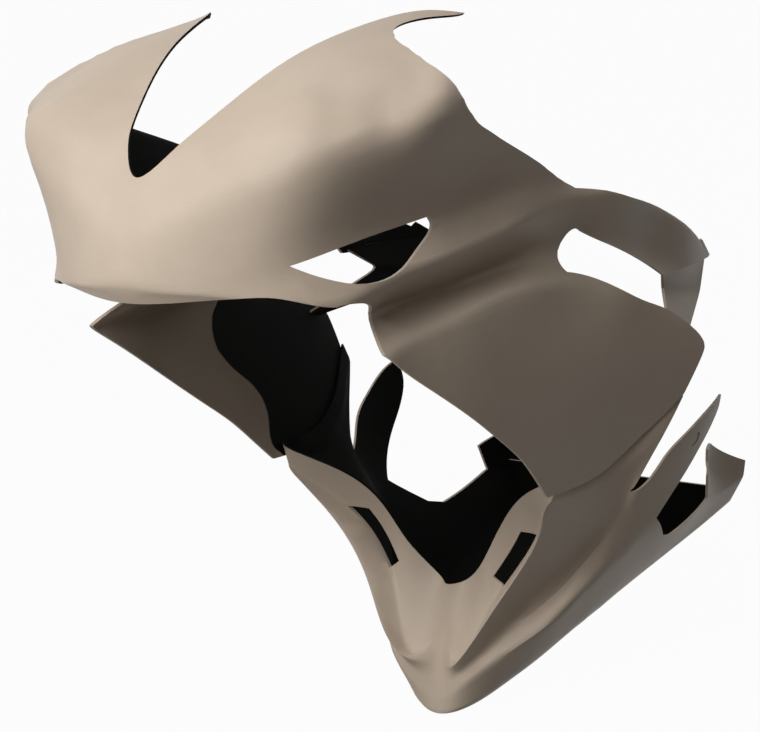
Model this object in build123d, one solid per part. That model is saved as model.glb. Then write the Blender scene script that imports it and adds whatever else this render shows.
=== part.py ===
from build123d import *
import os
import numpy as np

# Full motorcycle fairing in two moulded shells: the upper fairing and the belly pan.
# Millimetres. X points to the rider's left, Y to the rear and Z up. Guide lines and outlines are
# given for the left-hand side and mirrored.

# Laminate, and the joint where the belly pan tucks behind the side panels
wall = 3.0
seam_gap = 1.0
flange_height = 14.0
joggle_drop = 4.0

# Half-widths that drive the guide lines
shoulder_half = 244.0
valley_half = 201.0
lip_half = 218.0
groove_half = 180.0
panel_top_half = 232.0
panel_foot_half = 192.0
ridge_half = 152.0
floor_half = 120.0

# Folded strut behind each side vent: how far it laps onto the arm that carries it
strut_lap = 4.0

# Fluid dam at the back of the belly pan
dam_station = 832.0
dam_top = 262.0

# Round fixing seat pressed into each tail fin
seat_diameter = 18.0
seat_depth = 1.2
seat_station = 684.0
seat_height = 380.0

# Rows of points that round each crease
upper_corner_rows = 4
belly_corner_rows = 3

# Limits of the cutting prisms, well clear of the part
reach = 1.6 * shoulder_half
cut_front = -50.0
cut_back = 1000.0
cut_bottom = 60.0
cut_top = 900.0


def mirrored_points(points):
    return [(-x, y, z) for x, y, z in points[::-1]]


def inset(guides):
    """Guide lines one wall further in, mitred where two strips meet at a crease."""
    lines = [np.array(guide, float) for guide in guides]
    along = [np.gradient(line, axis=0) for line in lines]
    normals = []
    for i in range(len(lines) - 1):
        outward = np.cross(lines[i + 1] - lines[i], along[i] + along[i + 1])
        normals.append(outward / np.linalg.norm(outward, axis=1)[:, None])
    inner = []
    for i, line in enumerate(lines):
        first = normals[max(i - 1, 0)]
        second = normals[min(i, len(normals) - 1)]
        lean = 1 + np.sum(first * second, axis=1)[:, None]
        inner.append(line - wall * (first + second) / lean)
    return inner


def rows_over(guides, softness, corner_rows):
    """Rows of points down a skin. Each inner guide is a crease, rounded by its softness (0 to 1)."""
    lines = [np.array(guide, float) for guide in guides]
    rows = [lines[0]]
    for before, here, after, soft in zip(lines, lines[1:], lines[2:], softness):
        start = here + soft / 2 * (before - here)
        end = here + soft / 2 * (after - here)
        rows.extend((1 - part)**2 * start + 2 * part * (1 - part) * here + part**2 * end
                    for part in np.linspace(0, 1, corner_rows))
    return rows + [lines[-1]]


def curves(rows, stations):
    """Smooth lines along the rows, with the same stations as parameters so that neighbours match."""
    return [Wire([Edge.make_spline([tuple(point) for point in row], parameters=stations)]) for row in rows]


def ruled(*wires):
    return Shell.make_loft(wires, ruled=True).faces()


def skin_over(guides, softness, corner_rows, stations):
    return Shell(ruled(*curves(rows_over(guides, softness, corner_rows), stations)))


def laminate(guides, softness, corner_rows, stations):
    """Solid between the skin over the guide lines and a second skin one wall further in."""
    outside = rows_over(guides, softness, corner_rows)
    inside = rows_over(inset(guides), softness, corner_rows)
    outer_lines = curves(outside, stations)
    inner_lines = curves(inside, stations)
    faces = ruled(*outer_lines) + ruled(*inner_lines)
    for end in (0, -1):
        faces += ruled(outer_lines[end], inner_lines[end])
        faces += ruled(*[Wire.make_polygon([tuple(row[end]) for row in rows], close=False)
                         for rows in (outside, inside)])
    return Solid(Shell(faces))


def on_skin(skin, y, z):
    """Point and outward normal of the left-hand side of a skin at a place in side view."""
    hits = skin.find_intersection_points(Axis((0, y, z), (1, 0, 0)))
    point, normal = max(hits, key=lambda hit: hit[0].X)
    return point, normal if normal.X > 0 else -normal


def behind(skin, y, z, depth):
    """Point set in from the outer face of a skin."""
    point, normal = on_skin(skin, y, z)
    return tuple(point - normal * depth)


def outline(*runs):
    """Closed face from runs of points: two points are a line, more are a smooth curve."""
    edges = [Line(*run) if len(run) == 2 else Spline(*run) for run in runs]
    return make_face(Curve() + edges)


def side_prism(*runs):
    """Prism across the whole width, drawn in side view as (Y, Z)."""
    return extrude(Plane.YZ * outline(*runs), reach, both=True)


def lines(*points):
    """Runs of straight lines through the points."""
    return [list(pair) for pair in zip(points, points[1:])]


def mirrored(solid):
    return mirror(solid, about=Plane.YZ)


# Upper fairing: guide lines from the screen edge down to the foot of the side panels.
# Each runs from the centre plane rearwards in eight points.
screen_edge = [(0, 90, 820), (30, 113, 842), (50, 148, 865), (75, 211, 897),
               (100, 280, 919), (130, 358, 929), (160, 396, 926), (190, 425, 915)]
crown = [(0, 75, 792), (62, 100, 822), (140, 122, 856), (shoulder_half - 38, 168, 891),
         (shoulder_half - 20, 242, 914), (shoulder_half - 17, 320, 906),
         (shoulder_half - 4, 420, 870), (shoulder_half + 11, 540, 815)]
shoulder = [(0, 61, 765), (84, 82, 796), (168, 112, 820), (shoulder_half - 24, 156, 838),
            (shoulder_half, 215, 846), (shoulder_half + 7, 300, 846),
            (shoulder_half + 12, 430, 805), (shoulder_half + 18, 560, 745)]
valley = [(0, 43, 725), (85, 66, 715), (155, 117, 733), (valley_half - 19, 197, 739),
          (valley_half, 275, 743), (valley_half + 18, 362, 747),
          (valley_half + 37, 480, 738), (valley_half + 15, 722, 640)]
lip = [(0, 49, 708), (92, 70, 711), (181, 126, 691), (lip_half - 14, 200, 693),
       (lip_half, 285, 699), (lip_half + 13, 375, 707),
       (lip_half + 30, 529, 706), (lip_half - 24, 820, 546)]
groove = [(0, 60, 680), (88, 85, 682), (170, 160, 658), (groove_half - 12, 220, 660),
          (groove_half, 290, 660), (groove_half + 25, 385, 664),
          (groove_half + 56, 518, 655), (groove_half + 40, 750, 520)]
panel_top = [(0, 70, 650), (95, 90, 650), (196, 150, 622), (panel_top_half - 29, 212, 628),
             (panel_top_half - 17, 295, 635), (panel_top_half, 390, 641),
             (panel_top_half + 30, 530, 597), (panel_top_half + 46, 680, 480)]
panel_middle = [(0, 80, 560), (100, 95, 560), (200, 150, 540), (panel_top_half - 26, 212, 565),
                (panel_top_half - 20, 295, 545), (panel_top_half - 13, 390, 522),
                (panel_top_half + 4, 530, 498), (panel_top_half + 30, 675, 455)]
panel_foot = [(0, 90, 450), (100, 105, 440), (195, 170, 430), (panel_foot_half + 5, 240, 425),
              (panel_foot_half + 5, 320, 405), (panel_foot_half, 400, 372),
              (panel_foot_half + 4, 545, 362), (panel_foot_half + 48, 675, 405)]
upper_guides = [screen_edge, crown, shoulder, valley, lip, groove, panel_top, panel_middle, panel_foot]
upper_softness = [0.7, 0.6, 0.6, 0.35, 0.5, 0.3, 1.0]
upper_stations = [float(i) for i in range(-7, 8)]
upper_form = ([mirrored_points(line[1:]) + line for line in upper_guides],
              upper_softness, upper_corner_rows, upper_stations)
upper_skin = skin_over(*upper_form)

# Trim lines of the upper fairing in side view, (Y, Z)
lip_edge = [(40, 702), (72, 707), (98, 706), (121, 695), (143, 687)]
groove_front = [lip_edge[-1], (192, 676), (208, 662), (197, 642), (188, 626)]
seam = [(436, 392), (508, 386), (544, 391), (577, 406), (612, 425), (642, 449)]
panel_front = [groove_front[-1], (214, 602), (262, 562), (309, 522), (355, 481), (387, 451), (410, 424), seam[0]]
panel_back = [seam[-1], (648, 474), (651, 494)]
vent_floor = [panel_back[-1], (646, 516), (628, 535), (594, 562), (552, 585), (484, 629), (456, 641)]
vent_nose = [vent_floor[-1], (453, 651), (462, 669), (474, 680), (493, 676)]
vent_roof = [vent_nose[-1], (537, 650), (572, 630), (608, 608), (635, 588)]
arm_end = [vent_roof[-1], (789, 566)]
intake_roof = [(117, 733), (156, 738), (216, 742), (276, 744)]
intake_back = [intake_roof[-1], (280, 736), (260, 719), (226, 702), (214, 699)]
intake_floor = [intake_back[-1], (173, 702), (146, 713), intake_roof[0]]


def strut():
    """Plate that turns in under the rear end of the arm and comes down to the inside of the side panel."""
    (front_y, front_z), (back_y, back_z) = arm_end
    top = [behind(upper_skin, front_y + share * (back_y - front_y),
                  front_z + share * (back_z - front_z) + strut_lap, wall / 2) for share in (0.03, 0.5, 0.95)]
    fold = [(lip_half - 5, 675, 560), (lip_half - 15, 726, 545), (lip_half - 26, 781, 526)]
    foot = [behind(upper_skin, y, z, wall / 2) for y, z in [(606, 518), (616, 514), (624, 509)]]
    return laminate([top, fold, foot], [0.3], upper_corner_rows, [0.0, 1.0, 2.0])


def upper_fairing():
    # The rear edge of the cowl is drawn in a plane that leans out, square to the shoulder: (Y, height).
    leaning = Plane(origin=(0, 0, 0), x_dir=(0, 1, 0), z_dir=(1, 0, 1))
    cut_start = 2.3 * shoulder_half
    horn = [(412, 526), (375, 541), (337, 546), (301, 530)]
    cowl_back = [horn[-1], (276, 505), (270, 480), (288, 449), (299, 426), (334, 405), (399, 381), (461, 353),
                 (479, 341)]
    arm_top = [cowl_back[-1], (516, 331), (578, 315), (637, 304), (703, 289), (761, 271), (789, 259)]
    arm_tip = arm_top[-1]
    back = outline(horn, cowl_back, arm_top,
                   *lines(arm_tip, (cut_back, arm_tip[1]), (cut_back, cut_top), (horn[0][0], cut_top), horn[0]))
    back_cut = extrude(leaning * Pos(0, 0, cut_start) * back, reach)
    shell = laminate(*upper_form) - back_cut - mirrored(back_cut)
    # Open front below the lip, back to the front edge of the side panels
    seam_front = (seam[0][0], cut_bottom)
    shell -= side_prism(lip_edge, groove_front, panel_front,
                        *lines(seam[0], seam_front, (cut_front, cut_bottom), (cut_front, lip_edge[0][1]), lip_edge[0]))
    # Below the seam and behind the side panel, running on into the side vent
    shell -= side_prism(seam, panel_back, vent_floor, vent_nose, vent_roof,
                        *lines(*arm_end, (cut_back, arm_end[-1][1]), (cut_back, cut_bottom), seam_front, seam[0]))
    shell -= side_prism(intake_roof, intake_back, intake_floor)
    left_strut = strut()
    return shell + left_strut + mirrored(left_strut)


def tucked(y, lift):
    """Point of the belly flange behind the side panel, lifted above the seam line."""
    ys, zs = zip(*seam)
    return behind(upper_skin, y, float(np.interp(y, ys, zs)) + lift, wall + seam_gap)


# Belly pan: guide lines from the rim and the flange down to the keel, thirteen points each:
# centre plane, blade tip, blade, top of the gill, six along the seam, tail fin, upstand and tail.
seam_stations = [459, 480, 508, 548, 592, 636]
rim = [(0, 490, 242), (14, 500, 243), (58, 497, 286), (128, 480, 368),
       *[tucked(y, flange_height) for y in seam_stations], (262, 740, 475), (184, 800, 390), (172, 930, 330)]
gutter = [(0, 474, 190), (24, 456, 168), (68, 480, 228), (140, 488, 326),
          *[tucked(y, -joggle_drop) for y in seam_stations], (250, 725, 445), (178, 800, 350), (168, 930, 305)]
blade = [(0, 460, 155), (31, 441, 163), (92, 456, 240), (161, 461, 338), (190, 461, 380), (192, 482, 376),
         (194, 508, 374), (199, 550, 374), (211, 583, 386), (226, 614, 402), (242, 710, 415), (173, 800, 318),
         (164, 930, 288)]
crease = [(0, 453, 138), (34, 448, 152), (78, 490, 198), (126, 548, 246), (160, 580, 292), (166, 582, 299),
          (173, 583, 307), (184, 584, 320), (195, 585, 333), (206, 586, 346), (224, 675, 362), (170, 800, 288),
          (160, 930, 270)]
ridge = [(0, 446, 116), (36, 444, 136), (88, 474, 176), (ridge_half - 22, 520, 210), (ridge_half, 560, 238),
         (ridge_half + 4, 567, 243), (ridge_half + 9, 576, 249), (ridge_half + 18, 592, 260),
         (ridge_half + 27, 607, 270), (ridge_half + 36, 622, 281), (ridge_half + 47, 690, 285),
         (ridge_half + 13, 800, 256), (ridge_half, 930, 250)]
floor_edge = [(0, 442, 98), (29, 449, 103), (67, 499, 125), (floor_half - 30, 547, 145),
              (floor_half - 18, 592, 159), (floor_half - 16, 599, 161), (floor_half - 15, 606, 162),
              (floor_half - 13, 620, 165), (floor_half - 10, 635, 168), (floor_half - 8, 650, 171),
              (floor_half - 3, 715, 181), (floor_half, 800, 190), (floor_half + 1, 930, 205)]
keel = [(-8, y, z) for y, z in [(462, 95), (474, 96), (515, 102), (562, 120), (592, 136), (599, 138), (606, 141),
                                (620, 146), (635, 151), (650, 156), (715, 168), (800, 180), (930, 195)]]
belly_guides = [mirrored_points(line[1:3]) + line for line in (rim, gutter, blade, crease, ridge, floor_edge)]
belly_guides.append([(-40, 515, 102), (-24, 476, 96)] + keel)
belly_softness = [0.3, 0.25, 0.4, 0.3, 0.35]
belly_stations = [-105.0, -30.0, 0.0, 30.0, 100.0, 190.0, 250.0, 265.0, 280.0, 310.0, 340.0, 370.0,
                  455.0, 575.0, 710.0]
belly_form = (belly_guides, belly_softness, belly_corner_rows, belly_stations)
belly_skin = skin_over(*belly_form)


def dam():
    """Cross wall that keeps spilled fluid in the pan, let into the side walls and the floor."""
    side = [behind(belly_skin, dam_station, z, wall / 2) for z in (dam_top, 240, 222, 210, 203)]
    floor = [belly_skin.find_intersection_points(Axis((share * floor_half, dam_station, 0), (0, 0, 1)))[0][0]
             for share in (0.93, 0.86, 0.5, 0)]
    half = [(x, z) for x, y, z in side] + [(point.X, point.Z + wall / 2) for point in floor]
    face = make_face(Polyline(*half, *[(-x, z) for x, z in half[-2::-1]], close=True))
    return extrude(Plane.XZ.offset(-dam_station) * face, -wall)


def belly_pan():
    left_half = Pos(reach, cut_back / 2, cut_top / 2) * Box(2 * reach, cut_back, cut_top)
    half = laminate(*belly_form) & left_half
    # Slit between the seam flange and the tail fin, then the cut-out and the upstand behind the fin
    slit = [(647, 444), (623, 408), (594, 364), (585, 346)]
    fin_front = [slit[-1], (606, 355), (629, 378), (664, 396), (703, 412), (731, 420)]
    fin_back = [fin_front[-1], (734, 403), (719, 377), (695, 355), (669, 333), (638, 296)]
    cut_out = [(707, 246), (740, 248), (800, 259)]
    upstand = [(839, 315), (875, 291), (914, 268)]
    tail = upstand[-1][0]
    half -= side_prism(slit, fin_front, fin_back, *lines(fin_back[-1], (683, 255), cut_out[0]), cut_out,
                       *lines(cut_out[-1], (796, 291), (818, 300), (818, 315), upstand[0]), upstand,
                       *lines(upstand[-1], (tail, cut_bottom), (cut_back, cut_bottom), (cut_back, cut_top),
                              (slit[0][0], cut_top), slit[0]))
    # Gill beside the blade, drawn in front view as (X, Z), through the gutter alone
    gill = make_face(Polyline((109, 319), (136, 321), (82, 251), (68, 261), close=True))
    gill_front = 470.0
    gill_depth = 60.0
    half -= extrude(Plane.XZ.offset(-gill_front) * gill, -gill_depth)
    seat, normal = on_skin(belly_skin, seat_station, seat_height)
    seat_plane = Plane(origin=seat - normal * seat_depth, z_dir=normal)
    half -= extrude(seat_plane * Circle(seat_diameter / 2), seat_diameter)
    return half + mirrored(half) + dam()


shells = {"upper_fairing": upper_fairing(), "belly_pan": belly_pan()}
boxes = [shell.bounding_box() for shell in shells.values()]
front = min(box.min.Y for box in boxes)
back = max(box.max.Y for box in boxes)
to_frame = Pos(0, -(front + back) / 2, -min(box.min.Z for box in boxes))
os.makedirs("parts", exist_ok=True)
for name, shell in shells.items():
    export_step(to_frame * shell, f"parts/{name}.step")
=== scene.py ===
import math
import bmesh
import bpy
import numpy as np
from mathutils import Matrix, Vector


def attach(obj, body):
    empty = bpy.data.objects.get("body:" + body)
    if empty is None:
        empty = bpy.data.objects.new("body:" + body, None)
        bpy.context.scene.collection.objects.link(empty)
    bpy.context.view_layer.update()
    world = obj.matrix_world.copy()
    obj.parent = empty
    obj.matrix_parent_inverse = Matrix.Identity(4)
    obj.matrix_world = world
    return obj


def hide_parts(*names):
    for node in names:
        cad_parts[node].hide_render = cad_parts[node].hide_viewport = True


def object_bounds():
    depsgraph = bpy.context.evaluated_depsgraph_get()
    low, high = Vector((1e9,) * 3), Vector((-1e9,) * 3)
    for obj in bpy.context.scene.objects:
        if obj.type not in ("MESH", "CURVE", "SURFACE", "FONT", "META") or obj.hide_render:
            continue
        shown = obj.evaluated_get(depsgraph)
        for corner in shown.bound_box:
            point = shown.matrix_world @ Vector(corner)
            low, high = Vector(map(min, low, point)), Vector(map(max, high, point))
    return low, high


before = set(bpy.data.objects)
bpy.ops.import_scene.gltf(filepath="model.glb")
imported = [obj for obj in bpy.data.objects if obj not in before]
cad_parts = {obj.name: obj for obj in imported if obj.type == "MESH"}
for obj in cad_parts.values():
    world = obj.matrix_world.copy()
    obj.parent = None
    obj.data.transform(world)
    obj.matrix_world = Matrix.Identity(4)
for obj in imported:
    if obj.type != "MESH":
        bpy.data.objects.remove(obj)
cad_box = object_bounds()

# Motorcycle fairing: the two imported shells as smooth welded skins, grey-beige primer outside and
# black inside. Metres. X points to the rider's left, Y to the rear and Z up, as in the CAD.

scene = bpy.context.scene
scene.view_settings.view_transform = "Standard"

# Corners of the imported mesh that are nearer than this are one
weld_distance = 1e-5
# A skin runs on over edges flatter than this; a trimmed edge ends it
crease_angle = math.radians(40)
# Skins and cross walls are larger than this, trimmed edges smaller (square metres)
smallest_skin = 0.012
# Material slots of a shell
outside_slot, inside_slot = 0, 1

# Front limit of the black inside the upper fairing, in side view: (height, distance behind the
# centre). Above black_above all of it is black, and the black blends out over a short edge at its
# limit.
black_limit = [
    (0.25, -0.020), (0.292, -0.025), (0.310, -0.038), (0.351, -0.030), (0.377, -0.037),
    (0.419, -0.073), (0.447, -0.088), (0.478, -0.084), (0.502, -0.062), (0.540, -0.100),
]
black_above = 0.55
black_edge = 0.001

# The cowl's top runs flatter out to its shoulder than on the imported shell, and its band, groove
# and arm turn a little. Left-hand guide points: (x, y, z, distance moved along the camera's line
# of sight). The right side mirrors them.
sight = np.array((-0.619, 0.735, -0.277))
mirror = np.array((-1, 1, 1))
guide_moves = [
    # Screen edge and centre line
    (0.000, -0.389, 0.723, 0.000), (0.030, -0.366, 0.745, 0.000), (0.050, -0.331, 0.768, 0.000),
    (0.075, -0.268, 0.800, 0.000), (0.100, -0.199, 0.822, 0.000), (0.130, -0.121, 0.832, 0.000),
    (0.160, -0.083, 0.829, 0.000), (0.190, -0.054, 0.818, 0.000), (0.145, -0.154, 0.830, 0.000),
    (0.160, -0.119, 0.831, 0.000), (0.180, -0.079, 0.825, 0.000), (0.000, -0.404, 0.695, 0.000),
    (0.062, -0.379, 0.725, 0.000), (0.130, -0.367, 0.739, 0.000), (0.000, -0.418, 0.668, 0.000),
    (0.084, -0.397, 0.699, 0.000), (0.000, -0.436, 0.628, 0.000), (0.085, -0.413, 0.618, 0.000),
    # Side of the cowl: flatter on top, and fuller at the shoulder towards its rear edge
    (0.178, -0.356, 0.710, 0.000), (0.179, -0.349, 0.751, -0.002), (0.144, -0.332, 0.775, 0.000),
    (0.191, -0.328, 0.775, 0.004), (0.210, -0.327, 0.752, -0.003), (0.209, -0.326, 0.729, -0.003),
    (0.157, -0.315, 0.786, 0.000), (0.202, -0.312, 0.700, -0.002), (0.202, -0.311, 0.786, 0.016),
    (0.220, -0.305, 0.771, 0.001), (0.167, -0.295, 0.797, 0.010), (0.210, -0.289, 0.796, 0.023),
    (0.230, -0.288, 0.767, -0.005), (0.230, -0.288, 0.741, -0.014), (0.223, -0.275, 0.793, 0.019),
    (0.174, -0.272, 0.806, 0.015), (0.237, -0.267, 0.763, -0.018), (0.231, -0.255, 0.789, 0.008),
    (0.218, -0.255, 0.697, -0.008), (0.225, -0.245, 0.801, 0.017), (0.176, -0.243, 0.815, 0.015),
    (0.242, -0.243, 0.758, -0.035), (0.198, -0.239, 0.815, 0.022), (0.242, -0.234, 0.751, -0.042),
    (0.236, -0.231, 0.784, -0.009), (0.213, -0.227, 0.812, 0.020), (0.234, -0.225, 0.719, -0.034),
    (0.231, -0.222, 0.797, 0.003), (0.244, -0.215, 0.752, -0.047), (0.243, -0.212, 0.766, -0.042),
    (0.244, -0.192, 0.740, -0.046), (0.235, -0.178, 0.709, -0.028), (0.222, -0.167, 0.675, -0.006),
    (0.234, -0.115, 0.684, -0.010), (0.162, -0.092, 0.824, 0.000),
    # Top of the band, and on along the top of the arm
    (0.155, -0.362, 0.636, 0.000), (0.182, -0.282, 0.642, 0.002), (0.201, -0.204, 0.646, 0.006),
    (0.219, -0.117, 0.650, 0.010), (0.238, 0.001, 0.641, 0.008), (0.240, 0.121, 0.613, -0.018),
    (0.216, 0.243, 0.543, -0.030), (0.205, 0.310, 0.503, -0.014),
    # Foot of the band
    (0.092, -0.409, 0.614, 0.000), (0.181, -0.353, 0.594, 0.000), (0.204, -0.279, 0.596, -0.006),
    (0.218, -0.194, 0.602, -0.008), (0.231, -0.104, 0.610, -0.009), (0.248, 0.050, 0.609, -0.009),
    # Groove, and on along the foot of the arm
    (0.088, -0.394, 0.585, 0.000), (0.170, -0.319, 0.561, 0.006), (0.168, -0.259, 0.563, 0.014),
    (0.180, -0.189, 0.563, 0.020), (0.205, -0.094, 0.567, 0.024), (0.236, 0.021, 0.568, 0.024),
    (0.236, 0.121, 0.518, 0.024), (0.215, 0.181, 0.488, 0.020), (0.205, 0.310, 0.469, 0.008),
    # Side panel
    (0.203, -0.267, 0.531, 0.000), (0.215, -0.184, 0.538, 0.000), (0.232, -0.089, 0.544, 0.000),
    (0.262, 0.051, 0.500, 0.000), (0.270, 0.161, 0.413, 0.000), (0.206, -0.267, 0.468, 0.000),
    (0.212, -0.184, 0.448, 0.000), (0.219, -0.089, 0.425, 0.000), (0.236, 0.051, 0.401, 0.000),
    (0.260, 0.171, 0.363, 0.000),
]
# The moves run into each other within this length, and come in between these heights
move_blend = 0.03
fade_from, fade_to = 0.43, 0.50


def rgb(red, green, blue):
    """Linear colour from an 8-bit display colour."""
    def linear(value):
        value /= 255
        return value / 12.92 if value <= 0.04045 else ((value + 0.055) / 1.055) ** 2.4
    return linear(red), linear(green), linear(blue), 1.0


primer_dark, primer_light = rgb(171, 156, 141), rgb(184, 170, 155)
black_dark, black_light = rgb(8, 8, 8), rgb(20, 19, 17)
floor_colour = rgb(130, 128, 125)
white = (1, 1, 1, 1)


class Nodes:
    """A node tree with one short call to add a node and link it."""

    def __init__(self, owner):
        owner.use_nodes = True
        self.tree = owner.node_tree
        self.tree.nodes.clear()

    def add(self, kind, inputs=None, **settings):
        node = self.tree.nodes.new(kind)
        for name, value in settings.items():
            setattr(node, name, value)
        for name, value in (inputs or {}).items():
            if isinstance(value, bpy.types.NodeSocket):
                self.tree.links.new(value, node.inputs[name])
            else:
                node.inputs[name].default_value = value
        return node

    def math(self, operation, first, second):
        inputs = {0: first, 1: second}
        return self.add("ShaderNodeMath", inputs, operation=operation).outputs[0]

    def mix_colours(self, share, first, second):
        # A mix node names the sockets of every data type alike, so those for colours go by number
        inputs = {"Factor": share, 6: first, 7: second}
        return self.add("ShaderNodeMix", inputs, data_type="RGBA").outputs[2]

    def mix_shaders(self, share, first, second):
        inputs = {0: share, 1: first.outputs[0], 2: second.outputs[0]}
        return self.add("ShaderNodeMixShader", inputs).outputs[0]


def primer_colour(nodes, place):
    """Sprayed grey-beige primer, and its faint clouds; fine specks where the spray fell dry."""
    cloud = nodes.add("ShaderNodeTexNoise", {
        "Vector": place, "Scale": 6.0, "Detail": 4.0, "Roughness": 0.6}).outputs["Fac"]
    speck = nodes.add("ShaderNodeTexNoise", {"Vector": place, "Scale": 700.0, "Detail": 1.0})
    speck_share = 0.25
    specks = nodes.math("MULTIPLY", speck.outputs["Fac"], speck_share)
    ramp = nodes.add("ShaderNodeValToRGB", {"Fac": nodes.math("ADD", cloud, specks)})
    dark, light = ramp.color_ramp.elements
    dark.position, dark.color = 0.40, primer_dark
    light.position, light.color = 0.86, primer_light
    return ramp.outputs["Color"], cloud


def primer():
    """Outside finish: satin, with the orange peel of a spray gun."""
    material = bpy.data.materials.new("primer")
    nodes = Nodes(material)
    place = nodes.add("ShaderNodeTexCoord").outputs["Object"]
    colour, cloud = primer_colour(nodes, place)
    peel = nodes.add("ShaderNodeTexNoise", {"Vector": place, "Scale": 380.0, "Detail": 2.0})
    bump = nodes.add("ShaderNodeBump", {
        "Height": peel.outputs["Fac"], "Strength": 0.10, "Distance": 0.0005})
    rough = nodes.add("ShaderNodeMapRange", {"Value": cloud, "To Min": 0.42, "To Max": 0.54})
    shader = nodes.add("ShaderNodeBsdfPrincipled", {
        "Base Color": colour, "Roughness": rough.outputs["Result"],
        "Normal": bump.outputs["Normal"], "Specular IOR Level": 0.22})
    nodes.add("ShaderNodeOutputMaterial", {"Surface": shader.outputs["BSDF"]})
    return material


def black_share(nodes, place):
    """One where the inside of the upper fairing is black, and zero where its front keeps the primer
    colour.
    """
    across = nodes.add("ShaderNodeSeparateXYZ", {"Vector": place}).outputs
    # The curve runs from 0 to 1 both ways, so its heights are shares and its distances are raised
    raised = 0.5
    height = nodes.math("DIVIDE", across["Z"], black_above)
    curve = nodes.add("ShaderNodeFloatCurve", {"Value": height})
    points = curve.mapping.curves[0].points
    while len(points) < len(black_limit):
        points.new(raised, raised)
    for point, (up, back) in zip(points, black_limit):
        point.location = (up / black_above, raised + back)
    curve.mapping.update()
    limit = nodes.math("SUBTRACT", curve.outputs["Value"], raised)
    behind = nodes.add("ShaderNodeMapRange", {
        "Value": nodes.math("SUBTRACT", across["Y"], limit),
        "From Min": -black_edge, "From Max": black_edge})
    high = nodes.math("GREATER_THAN", across["Z"], black_above)
    return nodes.math("MAXIMUM", behind.outputs["Result"], high)


def inside(name, limited):
    """Back of the laminate: matt black with the bump of its weave, on a shell whose front may keep
    the primer colour.
    """
    material = bpy.data.materials.new(name)
    nodes = Nodes(material)
    place = nodes.add("ShaderNodeTexCoord").outputs["Object"]
    warp, weft = (
        nodes.add("ShaderNodeTexWave", {"Vector": place, "Scale": 90.0, "Distortion": 1.5},
                  bands_direction=direction).outputs["Fac"]
        for direction in "YZ")
    bump = nodes.add("ShaderNodeBump", {
        "Height": nodes.math("MULTIPLY", warp, weft), "Strength": 0.35, "Distance": 0.0004})
    dust = nodes.add("ShaderNodeTexNoise", {"Vector": place, "Scale": 14.0, "Detail": 5.0})
    colour = nodes.mix_colours(dust.outputs["Fac"], black_dark, black_light)
    # Black only behind the listed front limit; in front of it the inside has the primer colour
    if limited:
        front_colour = primer_colour(nodes, place)[0]
        colour = nodes.mix_colours(black_share(nodes, place), front_colour, colour)
    shader = nodes.add("ShaderNodeBsdfPrincipled", {
        "Base Color": colour, "Roughness": 0.7,
        "Normal": bump.outputs["Normal"], "Specular IOR Level": 0.03})
    nodes.add("ShaderNodeOutputMaterial", {"Surface": shader.outputs["BSDF"]})
    return material


def runs_on(edge):
    """Whether a skin goes on over an edge."""
    return edge.is_manifold and edge.calc_face_angle() < crease_angle


def skins(form):
    """Groups of faces that run on smoothly, each ended by its trimmed edges."""
    remaining = set(form.faces)
    while remaining:
        group = [remaining.pop()]
        for face in group:
            for edge in filter(runs_on, face.edges):
                for other in edge.link_faces:
                    if other in remaining:
                        remaining.remove(other)
                        group.append(other)
        yield group


def area(group):
    return sum(face.calc_area() for face in group)


def outwardness(group):
    """Area that faces away from the centre plane, less the area that faces it."""
    def outward(face):
        across = face.normal.x
        return face.calc_area() * math.copysign(across, across * face.calc_center_median().x)
    return sum(outward(face) for face in group)


def reshape(form):
    """Carry a skin along with the moved guide points, evenly in between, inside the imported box."""
    left = np.array(guide_moves)
    right = left[left[:, 0] > 0]
    points = np.vstack((left[:, :3], right[:, :3] * mirror))
    moves = np.vstack((left[:, 3:] * sight, right[:, 3:] * sight * mirror))

    def spread(places):
        return np.sqrt(((places[:, None] - points) ** 2).sum(2) + move_blend ** 2)

    places = np.array([vert.co for vert in form.verts])
    shift = spread(places) @ np.linalg.solve(spread(points), moves)
    shift *= np.clip((places[:, 2:] - fade_from) / (fade_to - fade_from), 0, 1)
    for vert, place in zip(form.verts, np.clip(places + shift, *cad_box)):
        vert.co = place


def shell(node, front, back, reshaped):
    """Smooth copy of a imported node, with one finish on its outer skin and edges, one behind."""
    mesh = bpy.data.objects[node].data.copy()
    form = bmesh.new()
    form.from_mesh(mesh)
    bmesh.ops.remove_doubles(form, verts=form.verts, dist=weld_distance)
    bmesh.ops.recalc_face_normals(form, faces=form.faces)
    groups = [group for group in skins(form) if area(group) > smallest_skin]
    outer = max(groups, key=outwardness)
    for face in form.faces:
        face.smooth = True
        face.material_index = outside_slot
    for group in groups:
        if group is not outer:
            for face in group:
                face.material_index = inside_slot
    for edge in form.edges:
        edge.smooth = runs_on(edge)
    if reshaped:
        reshape(form)
    # The slots come before the faces, because clearing them resets the faces' slots
    mesh.materials.clear()
    mesh.materials.append(front)
    mesh.materials.append(back)
    form.to_mesh(mesh)
    form.free()
    piece = bpy.data.objects.new(node + "_skin", mesh)
    scene.collection.objects.link(piece)
    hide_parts(node)
    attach(piece, "root")


outside = primer()
shell("upper_fairing", outside, inside("upper_inside", limited=True), reshaped=True)
shell("belly_pan", outside, inside("belly_inside", limited=False), reshaped=False)


# Studio
floor_half = 30.0
# Share of white in what is seen of the floor; the rest shows the part's shadow
floor_white = 0.97
fill_colour, fill_strength = (1.0, 0.96, 0.91, 1), 0.02

# Soft lamps, all turned to one point: (name, place, side, watts)
lamp_target = Vector((0, 0, 0.5))
lamp_colour = (1.0, 0.985, 0.96)
lamps = [
    ("key", (-1.5, -1.9, 2.5), 1.2, 30),
    ("front", (0.1, -2.35, 2.15), 1.2, 54),
    ("left", (1.6, -1.6, 2.8), 1.4, 18),
    ("top", (-0.3, -0.1, 3.0), 1.4, 8),
]

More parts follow.
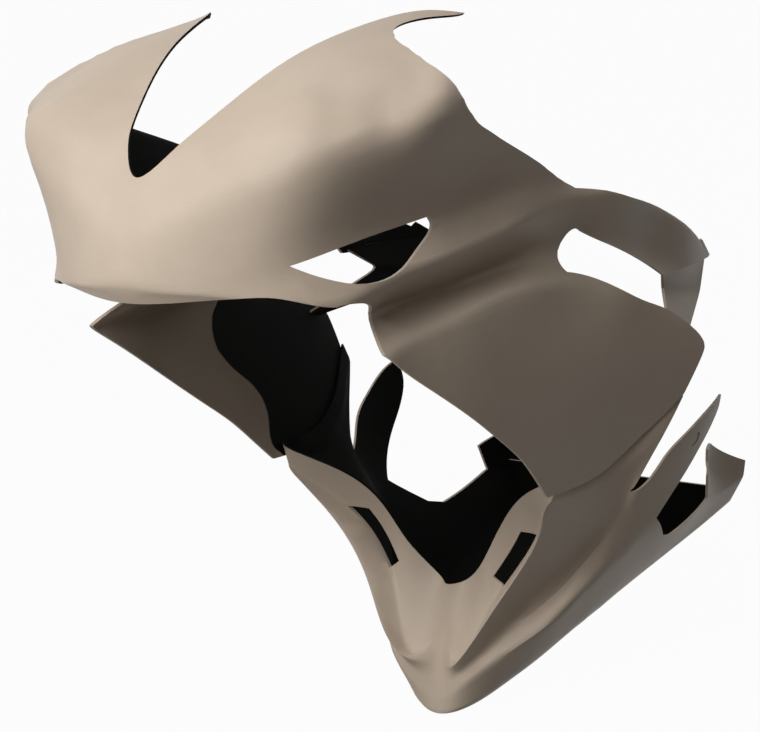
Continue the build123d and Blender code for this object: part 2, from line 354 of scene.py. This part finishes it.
# Camera at the photograph's angle: sensor and lens in millimetres, turn in degrees
camera_sensor, camera_lens = 36.0, 115.89
camera_place = (1.66997, -2.04432, 1.17994)
camera_turn = (73.7848, 6.8084, 38.1178)


def direct_ray(nodes):
    """One for rays that show the surroundings as they are: seen, mirrored or through glass."""
    path = nodes.add("ShaderNodeLightPath").outputs
    mirrored = nodes.math("MAXIMUM", path["Is Glossy Ray"], path["Is Transmission Ray"])
    return nodes.math("MAXIMUM", path["Is Camera Ray"], mirrored)


def floor_finish():
    """Pale floor, white to the camera, with the soft shadow of the part."""
    material = bpy.data.materials.new("floor")
    nodes = Nodes(material)
    matt = nodes.add("ShaderNodeBsdfDiffuse", {"Color": floor_colour})
    plain = nodes.add("ShaderNodeEmission", {"Color": white, "Strength": 1.0})
    seen = nodes.math("MULTIPLY", direct_ray(nodes), floor_white)
    surface = nodes.mix_shaders(seen, matt, plain)
    nodes.add("ShaderNodeOutputMaterial", {"Surface": surface})
    return material


floor_mesh = bpy.data.meshes.new("floor")
floor_mesh.from_pydata([
    (-floor_half, -floor_half, 0), (floor_half, -floor_half, 0),
    (floor_half, floor_half, 0), (-floor_half, floor_half, 0)], [], [(0, 1, 2, 3)])
floor_mesh.materials.append(floor_finish())
floor = bpy.data.objects.new("floor", floor_mesh)
scene.collection.objects.link(floor)

world = bpy.data.worlds.new("studio")
scene.world = world
sky = Nodes(world)
fill = sky.add("ShaderNodeBackground", {"Color": fill_colour, "Strength": fill_strength})
backdrop = sky.add("ShaderNodeBackground", {"Color": white, "Strength": 1.0})
surroundings = sky.mix_shaders(direct_ray(sky), fill, backdrop)
sky.add("ShaderNodeOutputWorld", {"Surface": surroundings})

for name, place, side, watts in lamps:
    lamp = bpy.data.lights.new(name, "AREA")
    lamp.size = side
    lamp.energy = watts
    lamp.color = lamp_colour
    light = bpy.data.objects.new(name, lamp)
    light.location = place
    light.rotation_euler = (lamp_target - Vector(place)).to_track_quat("-Z", "Y").to_euler()
    scene.collection.objects.link(light)

camera = bpy.data.objects.new("camera", bpy.data.cameras.new("camera"))
camera.data.sensor_width = camera_sensor
camera.data.lens = camera_lens
camera.location = camera_place
camera.rotation_euler = [math.radians(angle) for angle in camera_turn]
scene.collection.objects.link(camera)
scene.camera = camera
